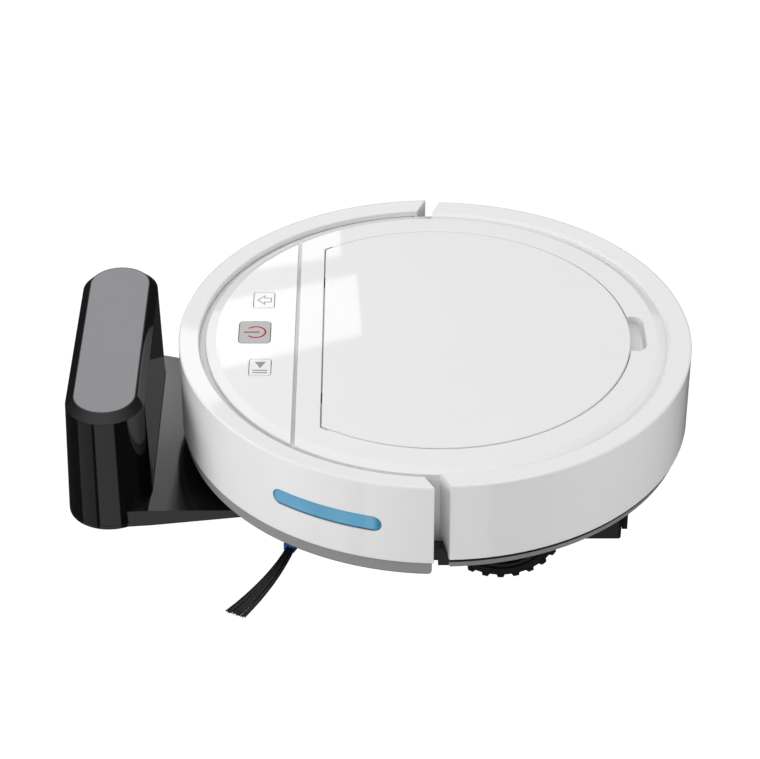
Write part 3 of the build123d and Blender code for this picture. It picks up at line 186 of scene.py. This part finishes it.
def window_pane(name, corners, radiance):
    """A bright pane of any four corners, seen only as a reflection in glossy parts."""
    shape = bmesh.new()
    shape.faces.new([shape.verts.new(corner) for corner in corners])
    data = bpy.data.meshes.new(name)
    shape.to_mesh(data)
    shape.free()
    pane = bpy.data.objects.new(name, data)
    bpy.context.scene.collection.objects.link(pane)
    material = bpy.data.materials.new(name)
    material.use_nodes = True
    tree = material.node_tree
    glow = tree.nodes.new("ShaderNodeEmission")
    glow.inputs["Strength"].default_value = radiance
    link(tree, glow.outputs["Emission"], tree.nodes["Material Output"].inputs["Surface"])
    data.materials.append(material)
    pane.visible_camera = False
    pane.visible_diffuse = False
    pane.visible_shadow = False


# two lights off the robot's front and rear, in metres and watts: place, width, height, power
SIDE_LIGHTS = {
    "left_box": ((1.8, 0.5, 0.9), 1.2, 1.0, 24),
    "right_box": ((-1.8, 0.3, 0.6), 1.0, 0.8, 11),
}

# panes far behind the robot, in millimetres from its axis; their inner ends come to the middle of the deck
PANE_Y = -1500
PANE_LIGHT = 3.4
UPPER_PANE = ((76, 971), (77, 880), (420, 880), (420, 1035))
LOWER_PANE = ((57, 999), (50, 1089), (229, 1140), (238, 1100), (236, 1040))
BACK_Y = -1700
BACK_LIGHT = 1.15
BACK_PANEL = ((-1600, 700), (1600, 700), (1600, 2600), (-1600, 2600))

# low panels, in metres: each has its two ends on plan and its brightness, and makes an upright
# grey stripe on the dock's rounded end
LOW_PANELS = {
    "panel_middle": (((-0.85, 2.0), (1.2, 2.0)), 0.75),
    "panel_left": (((1.6, 2.0), (4.0, 0.6)), 0.36),
}
LOW_PANEL_Z = (-2.6, -0.5)

make_world()
make_floor()
for light_name, setting in SIDE_LIGHTS.items():
    soft_box(light_name, *setting)
for panel_name, (ends, light) in LOW_PANELS.items():
    low_z, high_z = LOW_PANEL_Z
    (x0, y0), (x1, y1) = ends
    window_pane(panel_name, [(x0, y0, low_z), (x1, y1, low_z), (x1, y1, high_z), (x0, y0, high_z)], light)
for pane_name, outline in (("pane_upper", UPPER_PANE), ("pane_lower", LOWER_PANE)):
    window_pane(pane_name, [at(x, PANE_Y, z) for x, z in outline], PANE_LIGHT)
window_pane("panel_back", [at(x, BACK_Y, z) for x, z in BACK_PANEL], BACK_LIGHT)


# ---- materials
COAT_ROUGHNESS = 0.03
LEAST_ROUGHNESS = 0.02
SLOW_SCALE = 22.0
SLOW_DETAIL = 5.0
TONE_STOPS = (0.3, 0.7)
FINE_DETAIL = 3.0
RELIEF_DEPTH = 0.0002
BEVEL_SAMPLES = 6


def tint(tree, place, base, axis, start, end, color):
    """From start to end along the axis, the base colour turns into this one."""
    parts = tree.nodes.new("ShaderNodeSeparateXYZ")
    link(tree, place.outputs["Object"], parts.inputs["Vector"])
    share = tree.nodes.new("ShaderNodeMapRange")
    share.inputs["From Min"].default_value = start
    share.inputs["From Max"].default_value = end
    link(tree, parts.outputs[axis], share.inputs["Value"])
    mix = tree.nodes.new("ShaderNodeMixRGB")
    mix.inputs["Color2"].default_value = (*color, 1)
    link(tree, share.outputs["Result"], mix.inputs["Fac"])
    link(tree, base, mix.inputs["Color1"])
    return mix.outputs["Color"]


def surface(name, color, roughness, metallic=0.0, coat=0.0, grain=900.0, bump=0.02, shade=0.04, wear=0.05,
            bevel=0.0, shine=0.5, tint_and_shade_bands=()):
    """A moulded or metal surface: fine grain in the bump, slow shifts in colour and gloss."""
    material = bpy.data.materials.new(name)
    material.use_nodes = True
    tree = material.node_tree
    nodes = tree.nodes
    shader = nodes["Principled BSDF"]
    shader.inputs["Metallic"].default_value = metallic
    shader.inputs["Coat Weight"].default_value = coat
    shader.inputs["Coat Roughness"].default_value = COAT_ROUGHNESS
    shader.inputs["Specular IOR Level"].default_value = shine
    place = nodes.new("ShaderNodeTexCoord")
    slow = nodes.new("ShaderNodeTexNoise")
    slow.inputs["Scale"].default_value = SLOW_SCALE
    slow.inputs["Detail"].default_value = SLOW_DETAIL
    link(tree, place.outputs["Object"], slow.inputs["Vector"])
    tone = nodes.new("ShaderNodeValToRGB")
    low = [channel * (1 - shade) for channel in color]
    high = [min(1.0, channel * (1 + shade)) for channel in color]
    for stop, position, channels in zip(tone.color_ramp.elements, TONE_STOPS, (low, high)):
        stop.position = position
        stop.color = (*channels, 1)
    link(tree, slow.outputs["Fac"], tone.inputs["Fac"])
    paint = tone.outputs["Color"]
    # each band turns the colour along an axis: painted shade on the window's lower rim and the rear skirt's
    # top edge, and the window's greener rear end
    for zone in tint_and_shade_bands:
        paint = tint(tree, place, paint, *zone)
    link(tree, paint, shader.inputs["Base Color"])
    gloss = nodes.new("ShaderNodeMapRange")
    gloss.inputs["To Min"].default_value = max(LEAST_ROUGHNESS, roughness - wear)
    gloss.inputs["To Max"].default_value = roughness + wear
    link(tree, slow.outputs["Fac"], gloss.inputs["Value"])
    link(tree, gloss.outputs["Result"], shader.inputs["Roughness"])
    fine = nodes.new("ShaderNodeTexNoise")
    fine.inputs["Scale"].default_value = grain
    fine.inputs["Detail"].default_value = FINE_DETAIL
    link(tree, place.outputs["Object"], fine.inputs["Vector"])
    relief = nodes.new("ShaderNodeBump")
    relief.inputs["Strength"].default_value = bump
    relief.inputs["Distance"].default_value = RELIEF_DEPTH
    link(tree, fine.outputs["Fac"], relief.inputs["Height"])
    if bevel:
        soften = nodes.new("ShaderNodeBevel")
        soften.samples = BEVEL_SAMPLES
        soften.inputs["Radius"].default_value = bevel
        link(tree, soften.outputs["Normal"], relief.inputs["Normal"])
    link(tree, relief.outputs["Normal"], shader.inputs["Normal"])
    return material


# the window has painted shade along its lower rim, where the recess would throw shadow, and is greener at its
# rear end
WINDOW_LOW_Z = 48.3 * MM
WINDOW_SHADE_BAND = (1.3 * MM, 0.7 * MM)
RECESS_SHADE_BLUE = (0.02, 0.075, 0.13)
WINDOW_REAR_X = (37.5, 34.5)
REAR_BLUE = (0.0, 0.20, 0.36)
WINDOW_SHADE_AND_TINT = (
    # painted shade: a dark blue band along the window's lower rim stands in for the recess shadow
    ("Z", WINDOW_LOW_Z + WINDOW_SHADE_BAND[0], WINDOW_LOW_Z + WINDOW_SHADE_BAND[1], RECESS_SHADE_BLUE),
    ("X", at(WINDOW_REAR_X[0], 0, 0).x, at(WINDOW_REAR_X[1], 0, 0).x, REAR_BLUE),
)

SKIRT = {
    "color": (0.27, 0.27, 0.27),
    "roughness": 0.35,
    "grain": 1200,
    "bump": 0.05,
    "shade": 0.03,
    "bevel": 0.0006,
}

MATERIALS = {
    "shell_white": surface("shell_white", (0.78, 0.78, 0.78), 0.35, coat=0.9, grain=1500, bump=0.008,
                           shade=0.006, bevel=0.0007, shine=0.15),
    "panel_white": surface("panel_white", (0.79, 0.79, 0.79), 0.3, coat=1.0, grain=1500, bump=0.004,
                           shade=0.005, wear=0.02, bevel=0.0005, shine=0.15),
    "button_white": surface("button_white", (0.78, 0.78, 0.78), 0.2, coat=0.8, bump=0.006, shade=0.01,
                            bevel=0.0003, shine=0.15),
    "button_silver": surface("button_silver", (0.42, 0.42, 0.42), 0.3, metallic=0.2, coat=0.1, bump=0.03,
                             shade=0.05, bevel=0.0004, shine=0.3),
    "skirt_grey": surface("skirt_grey", **SKIRT),
    "chassis_black": surface("chassis_black", (0.010, 0.010, 0.011), 0.42, grain=1400, bump=0.12, shade=0.15,
                             bevel=0.0004, shine=0.35),
    "well_grey": surface("well_grey", (0.30, 0.305, 0.31), 0.4, bump=0.06),
    "bin_smoke": surface("bin_smoke", (0.08, 0.082, 0.09), 0.12, coat=0.3, bump=0.01),
    "bin_lid_grey": surface("bin_lid_grey", (0.09, 0.092, 0.097), 0.35, bump=0.06),
    "filter_paper": surface("filter_paper", (0.72, 0.72, 0.68), 0.85, grain=2500, bump=0.4, shade=0.06),
    "steel": surface("steel", (0.55, 0.55, 0.57), 0.28, metallic=1.0, grain=700, bump=0.05),
    "contact_metal": surface("contact_metal", (0.72, 0.66, 0.52), 0.2, metallic=1.0, bump=0.03),
    "circuit_green": surface("circuit_green", (0.015, 0.12, 0.05), 0.3, bump=0.2, shade=0.2),
    "battery_blue": surface("battery_blue", (0.02, 0.08, 0.3), 0.25, coat=0.3, bump=0.05),
    "motor_black": surface("motor_black", (0.02, 0.02, 0.022), 0.4, bump=0.1),
    # the window's material carries the painted shade band on its lower rim
    "window_blue": surface("window_blue", (0.125, 0.37, 0.57), 0.1, coat=0.5, bump=0.01, shade=0.10,
                           shine=0.3, tint_and_shade_bands=WINDOW_SHADE_AND_TINT),
    "brush_blue": surface("brush_blue", (0.020, 0.082, 0.30), 0.4, bump=0.06, shade=0.06, bevel=0.0005),
    "bristle_black": surface("bristle_black", (0.012, 0.012, 0.013), 0.4, bump=0.1),
    "rubber_black": surface("rubber_black", (0.008, 0.008, 0.009), 0.55, grain=900, bump=0.2, shade=0.2,
                            bevel=0.0005, shine=0.2),
    "hub_grey": surface("hub_grey", (0.010, 0.010, 0.011), 0.45, bump=0.08, shine=0.25),
    "dock_gloss": surface("dock_gloss", (0.003, 0.003, 0.003), 0.07, grain=1500, bump=0.003, shade=0.2,
                          wear=0.02, bevel=0.0006),
    "dock_grey": surface("dock_grey", (0.23, 0.23, 0.245), 0.4, grain=1800, bump=0.05, shade=0.02,
                         bevel=0.0003, shine=0.4),
}

DOCK_SATIN = surface("dock_satin", (0.008, 0.008, 0.008), 0.12, grain=1500, bump=0.006, shade=0.15,
                     bevel=0.0004)

# the rear skirt has a painted shadow: its top edge turns black, standing in for the shadow in the gap under
# the rear wall
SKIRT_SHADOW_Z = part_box("rear_skirt")[1].z - 1.0 * MM
SKIRT_SHADOW_FADE = 0.2 * MM
SKIRT_PAINTED_SHADOW = (0.01, 0.01, 0.01)
# the rear skirt's material carries this painted shadow band along its top edge
REAR_SKIRT_SHADOWED = surface("rear_skirt_grey_painted_shadow", **SKIRT,
                     tint_and_shade_bands=[("Z", SKIRT_SHADOW_Z, SKIRT_SHADOW_Z + SKIRT_SHADOW_FADE, SKIRT_PAINTED_SHADOW)])
OWN_MATERIALS = {"dock_plate": DOCK_SATIN, "rear_skirt": REAR_SKIRT_SHADOWED}


def dress_cad_nodes():
    """Every CAD node gets its own material, or else the one that its slot in the record names."""
    for part in frame["record"]["subparts"]:
        node = frame["nodes"][part["node"]]
        node.data.materials.clear()
        node.data.materials.append(OWN_MATERIALS.get(part["node"], MATERIALS[part["material_slot"]]))


dress_cad_nodes()


# ---- fine pieces: bristles and the buttons' signs
def new_piece(name, shape, material, body, smooth=False):
    data = bpy.data.meshes.new(name)
    bmesh.ops.recalc_face_normals(shape, faces=shape.faces)
    shape.to_mesh(data)
    shape.free()
    for face in data.polygons:
        face.use_smooth = smooth
    data.materials.append(material)
    piece = bpy.data.objects.new(name, data)
    bpy.context.scene.collection.objects.link(piece)
    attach(piece, body)
    return piece


FILAMENT_SIDES = 4


def filament(shape, points, radii):
    """A thin tapering bristle along the points, closed at both ends."""
    sides = FILAMENT_SIDES
    rings = []
    for index, (point, radius) in enumerate(zip(points, radii)):
        ahead = points[min(index + 1, len(points) - 1)] - points[max(index - 1, 0)]
        across = ahead.orthogonal().normalized()
        beside = ahead.normalized().cross(across)
        turns = [2 * math.pi * side / sides for side in range(sides)]
        rings.append([
            shape.verts.new(point + radius * (across * math.cos(turn) + beside * math.sin(turn)))
            for turn in turns
        ])
    for lower, upper in zip(rings, rings[1:]):
        for side in range(sides):
            after = (side + 1) % sides
            shape.faces.new((lower[side], lower[after], upper[after], upper[side]))
    shape.faces.new(rings[0][::-1])
    shape.faces.new(rings[-1])


# side brushes, in millimetres and degrees; a pair gives the root and then the tip
HUB_X = 72
HUB_Y = 84
ARM_ANGLES = (64, 184, 304)
ARM_DROOP = (4.4, 3.6, -0.2)
ARM_START_R = 28.6
ARM_LENGTH = 59.6
ARM_Z = 8.5
ARM_BOW = (0.8, 9.4, -12.8)
ARM_HALF_WIDTH = (2.1, 5.9)
ARM_HALF_THICK = (1.2, 0.7)
ARM_FLARE = 1.3
ARM_BRISTLES = 130
ARM_LENGTH_SPREAD = (-1.0, 0.4)
ARM_STRAY = 0.5
BRISTLE_R = (0.27, 0.17)
BRISTLE_STEPS = 9
BRUSH_SEEDS = {"left": 11, "right": 12}
BRUSH_SIDES = {"left": 1, "right": -1}


def bristle_arm(shape, draw, side, angle, droop):
    """A flat fan of bristles that bows sideways and sinks towards its tip."""
    turn = math.radians(angle) * side
    out = Vector((math.cos(turn), math.sin(turn), 0))
    left = Vector((-out.y, out.x, 0)) * side
    for _ in range(ARM_BRISTLES):
        across = draw.uniform(-1, 1)
        up = draw.uniform(-1, 1)
        length = ARM_LENGTH + draw.uniform(*ARM_LENGTH_SPREAD)
        stray = draw.uniform(-ARM_STRAY, ARM_STRAY)
        points = []
        radii = []
        for step in range(BRISTLE_STEPS):
            share = step / (BRISTLE_STEPS - 1)
            half_width = ARM_HALF_WIDTH[0] + (ARM_HALF_WIDTH[1] - ARM_HALF_WIDTH[0]) * share ** ARM_FLARE
            half_thick = ARM_HALF_THICK[0] + (ARM_HALF_THICK[1] - ARM_HALF_THICK[0]) * share
            bow = ARM_BOW[0] + ARM_BOW[1] * share + ARM_BOW[2] * share ** 2
            sideways = bow + across * half_width + stray * share ** 2
            height = ARM_Z - droop * share ** 2 + up * half_thick
            spot = out * (ARM_START_R + length * share) + left * sideways
            points.append(at(HUB_X + spot.x, HUB_Y * side + spot.y, height))
            radii.append((BRISTLE_R[0] + (BRISTLE_R[1] - BRISTLE_R[0]) * share) * MM)
        filament(shape, points, radii)


def side_brushes():
    """Three fans of bristles on each hub, mirrored from one side to the other."""
    for name, side in BRUSH_SIDES.items():
        draw = random.Random(BRUSH_SEEDS[name])
        shape = bmesh.new()
        for angle, droop in zip(ARM_ANGLES, ARM_DROOP):
            bristle_arm(shape, draw, side, angle, droop)
        hub = "side_brush_" + name
        brush = new_piece("brush_arms_" + name, shape, BRISTLES, hub, smooth=True)
        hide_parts("side_brush_bristles_" + name)


# the main roller, in millimetres
ROLLER_X = -88
ROLLER_Z = 15.5
ROLLER_ROWS = 5
ROLLER_HALF_Y = 73.5
ROLLER_CORE_R = 5.6
ROLLER_TIP_R = 12.8
ROLLER_TWIST = 1.3
TUFT_GAP = 2.9
TUFT_BRISTLES = 8
TUFT_SPREAD = 1.2
TUFT_SWING = 0.09
TUFT_SHORT = 0.5
TUFT_STEPS = (0.0, 0.5, 1.0)
TUFT_R = (0.22 * MM, 0.2 * MM, 0.14 * MM)
ROLLER_SEED = 21


def roller_brush():
    """Rows of tufts that wind from each end towards the middle of the roller."""
    draw = random.Random(ROLLER_SEED)
    shape = bmesh.new()
    tufts = int(2 * ROLLER_HALF_Y / TUFT_GAP)
    for row in range(ROLLER_ROWS):
        for tuft in range(tufts + 1):
            y = -ROLLER_HALF_Y + tuft * TUFT_GAP
            angle = 2 * math.pi * row / ROLLER_ROWS + ROLLER_TWIST * abs(y) / ROLLER_HALF_Y
            for _ in range(TUFT_BRISTLES):
                lean = draw.uniform(-TUFT_SPREAD, TUFT_SPREAD)
                swing = draw.uniform(-TUFT_SWING, TUFT_SWING)
                reach = ROLLER_TIP_R - draw.uniform(0, TUFT_SHORT)
                points = []
                for share in TUFT_STEPS:
                    radius = ROLLER_CORE_R + (reach - ROLLER_CORE_R) * share
                    turn = angle + swing * share
                    points.append(at(
                        ROLLER_X + radius * math.cos(turn),
                        max(-ROLLER_HALF_Y, min(ROLLER_HALF_Y, y + lean * share)),
                        ROLLER_Z + radius * math.sin(turn),
                    ))
                filament(shape, points, TUFT_R)
    brush = new_piece("roller_tufts", shape, ROLLER_FIBRE, "main_roller", smooth=True)
    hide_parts("roller_bristles")


# signs, in millimetres from the middle of each button's top
SIGN_THICK = 0.06
ARROW = ((3.8, 0), (-0.3, 4.5), (-0.3, 2.1), (-4.2, 2.1), (-4.2, -2.1), (-0.3, -2.1), (-0.3, -4.5))
ARROW_LINE = 0.62
POWER_R = 5.6
POWER_CENTRE_X = -0.6
POWER_OPEN = 42
POWER_STEP = 6
POWER_LINE = 1.0
POWER_BAR = (-2.7, 6.4)
START_TRIANGLE = ((3.2, -5.4), (-3.2, -5.4), (0, 1.0))
START_LINES = (3.2, 5.6)
START_LINE_HALF_X = 4.2
START_LINE = 1.0
MITRE_LEAST = 0.4


def raised(shape, outline, base):
    """A thin raised patch with the outline's shape, in millimetres around the base point."""
    low = [shape.verts.new(base + Vector((x * MM, y * MM, -SIGN_THICK * MM))) for x, y in outline]
    high = [shape.verts.new(base + Vector((x * MM, y * MM, SIGN_THICK * MM))) for x, y in outline]
    shape.faces.new(high)
    shape.faces.new(low[::-1])
    for index in range(len(outline)):
        after = (index + 1) % len(outline)
        shape.faces.new((low[index], low[after], high[after], high[index]))


def line_sides(points, width, closed):
    """The two sides of a line of this width, mitred where it bends."""
    count = len(points)
    sides = ([], [])
    for index, point in enumerate(points):
        before = points[index - 1] if closed or index else None
        after = points[(index + 1) % count] if closed or index < count - 1 else None
        normals = []
        for start, end in ((before, point), (point, after)):
            if start is not None and end is not None:
                run = (end - start).normalized()
                normals.append(Vector((-run.y, run.x)))
        middle = sum(normals, Vector((0, 0))).normalized()
        reach = width / 2 / max(MITRE_LEAST, middle.dot(normals[0]))
        sides[0].append(point + middle * reach)
        sides[1].append(point - middle * reach)
    return sides


def draw_line(shape, points, width, base, closed=False):
    """A raised line of this width along the points."""
    first, second = line_sides([Vector(point) for point in points], width, closed)
    pieces = len(points) if closed else len(points) - 1
    for index in range(pieces):
        after = (index + 1) % len(points)
        raised(shape, [first[index], first[after], second[after], second[index]], base)


def button_top(node):
    """The middle of the button's top face."""
    low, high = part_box(node)
    return Vector(((low.x + high.x) / 2, (low.y + high.y) / 2, high.z))


def button_signs():
    """An arrow, a power sign, and a triangle beside two bars."""
    arrow = bmesh.new()
    draw_line(arrow, ARROW, ARROW_LINE, button_top("home_button"), closed=True)
    new_piece("home_sign", arrow, SIGN_GREY, "home_button")
    power = bmesh.new()
    top = button_top("power_button")
    arc = []
    for degrees in range(POWER_OPEN, 361 - POWER_OPEN, POWER_STEP):
        turn = math.radians(degrees)
        arc.append((POWER_CENTRE_X + POWER_R * math.cos(turn), POWER_R * math.sin(turn)))
    draw_line(power, arc, POWER_LINE, top)
    draw_line(power, ((POWER_BAR[0], 0), (POWER_BAR[1], 0)), POWER_LINE, top)
    new_piece("power_sign", power, SIGN_RED, "power_button")
    start = bmesh.new()
    top = button_top("start_button")
    raised(start, START_TRIANGLE, top)
    for y in START_LINES:
        draw_line(start, ((-START_LINE_HALF_X, y), (START_LINE_HALF_X, y)), START_LINE, top)
    new_piece("start_sign", start, SIGN_GREY, "start_button")


BRISTLES = surface("bristle_fibre", (0.012, 0.012, 0.013), 0.38, grain=3000, bump=0.05, shade=0.3)
ROLLER_FIBRE = surface("roller_fibre", (0.02, 0.02, 0.022), 0.42, grain=3000, bump=0.05, shade=0.3)
SIGN_GREY = surface("sign_grey", (0.27, 0.27, 0.275), 0.4, grain=2000, bump=0.03, shade=0.04)
SIGN_RED = surface("sign_red", (0.50, 0.008, 0.02), 0.6, grain=2000, bump=0.02, shade=0.06, shine=0.1)
side_brushes()
roller_brush()
button_signs()
